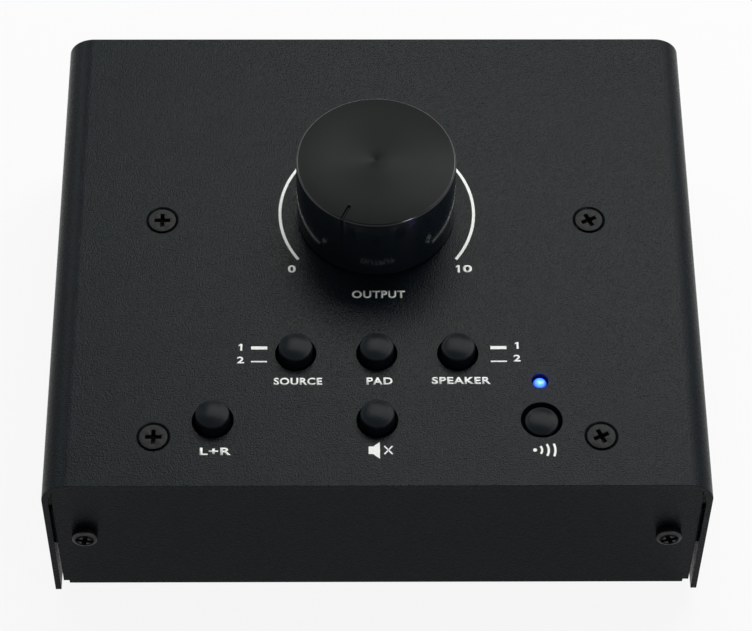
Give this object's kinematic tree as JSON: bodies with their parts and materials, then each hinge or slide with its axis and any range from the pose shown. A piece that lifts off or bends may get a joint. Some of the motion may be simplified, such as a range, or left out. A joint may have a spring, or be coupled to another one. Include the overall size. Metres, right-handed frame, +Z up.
{
  "type": "studio monitor controller",
  "caption": "Desktop audio volume controller: black folded-steel case with a large turned knob, round push buttons, a status light and rear audio sockets",
  "frame": {"origin": "middle of the footprint, at floor level", "axes": "+X to the right along the front, +Y to the rear with its sockets, +Z up out of the control plate"},
  "size_m": [0.142, 0.131, 0.0663],
  "materials": {
    "case_paint": "fine-textured black powder coat on steel sheet",
    "foot_rubber": "matt moulded rubber",
    "black_screw": "black-finished steel",
    "standoff_metal": "nickel-plated brass",
    "circuit_board": "green solder resist on glass-fibre laminate",
    "module_shield": "tinned steel shield",
    "knob_anodised": "glossy black anodised, turned",
    "pot_metal": "zinc-plated steel",
    "button_plastic": "satin black",
    "slider_plastic": "natural acetal",
    "housing_plastic": "moulded black",
    "blue_lens": "clear tinted epoxy, lit",
    "ribbon_insulation": "grey insulation and housings",
    "plated_nut": "nickel plated"
  },
  "bodies": {
    "case": {"top_cover": "case_paint", "chassis": "case_paint", "foot_front_left": "foot_rubber", "foot_front_right": "foot_rubber", "foot_rear_left": "foot_rubber", "foot_rear_right": "foot_rubber", "top_screw_front_left": "black_screw", "top_screw_front_right": "black_screw", "top_screw_rear_left": "black_screw", "top_screw_rear_right": "black_screw", "front_screw_left": "black_screw", "front_screw_right": "black_screw", "rear_screw_left": "black_screw", "rear_screw_right": "black_screw", "standoff_front_left": "standoff_metal", "standoff_front_right": "standoff_metal", "standoff_rear_left": "standoff_metal", "standoff_rear_right": "standoff_metal", "control_board": "circuit_board", "rear_board": "circuit_board", "wireless_module": "module_shield", "pot_body": "pot_metal", "pot_washer": "pot_metal", "pot_nut": "pot_metal", "input_switch": "housing_plastic", "dim_switch": "housing_plastic", "monitor_switch": "housing_plastic", "mono_switch": "housing_plastic", "mute_switch": "housing_plastic", "wireless_switch": "housing_plastic", "jack_pair_1": "housing_plastic", "jack_pair_2": "housing_plastic", "jack_pair_3": "housing_plastic", "phono_sockets": "housing_plastic", "dc_inlet": "housing_plastic", "status_light": "blue_lens", "ribbon_cable": "ribbon_insulation", "jack_nut_1_low": "plated_nut", "jack_nut_1_high": "plated_nut", "jack_nut_2_low": "plated_nut", "jack_nut_2_high": "plated_nut", "jack_nut_3_low": "plated_nut", "jack_nut_3_high": "plated_nut"},
    "knob": {"volume_knob": "knob_anodised", "pot_shaft": "pot_metal", "knob_set_screw": "black_screw"},
    "input_button": {"input_cap": "button_plastic", "input_plunger": "slider_plastic"},
    "dim_button": {"dim_cap": "button_plastic", "dim_plunger": "slider_plastic"},
    "monitor_button": {"monitor_cap": "button_plastic", "monitor_plunger": "slider_plastic"},
    "mono_button": {"mono_cap": "button_plastic", "mono_plunger": "slider_plastic"},
    "mute_button": {"mute_cap": "button_plastic", "mute_plunger": "slider_plastic"},
    "wireless_button": {"wireless_cap": "button_plastic", "wireless_plunger": "slider_plastic"}
  },
  "joints": [
    {"name": "volume_turn", "type": "hinge", "parent": "case", "child": "knob", "pos_m": [0, 0.00735, 0.0479], "axis": [0, 0, -1], "range_deg": [0, 300]},
    {"name": "input_press", "type": "slide", "parent": "case", "child": "input_button", "axis": [0, 0, -1], "range_m": [0, 0.0031], "stiffness_N_per_m": 300, "springref_m": -0.003},
    {"name": "dim_press", "type": "slide", "parent": "case", "child": "dim_button", "axis": [0, 0, -1], "range_m": [0, 0.0031], "stiffness_N_per_m": 300, "springref_m": -0.003},
    {"name": "monitor_press", "type": "slide", "parent": "case", "child": "monitor_button", "axis": [0, 0, -1], "range_m": [0, 0.0031], "stiffness_N_per_m": 300, "springref_m": -0.003},
    {"name": "mono_press", "type": "slide", "parent": "case", "child": "mono_button", "axis": [0, 0, -1], "range_m": [0, 0.0031], "stiffness_N_per_m": 300, "springref_m": -0.003},
    {"name": "mute_press", "type": "slide", "parent": "case", "child": "mute_button", "axis": [0, 0, -1], "range_m": [0, 0.0031], "stiffness_N_per_m": 300, "springref_m": -0.003},
    {"name": "wireless_release", "type": "slide", "parent": "case", "child": "wireless_button", "axis": [0, 0, 1], "range_m": [0, 0.0031]}
  ]
}
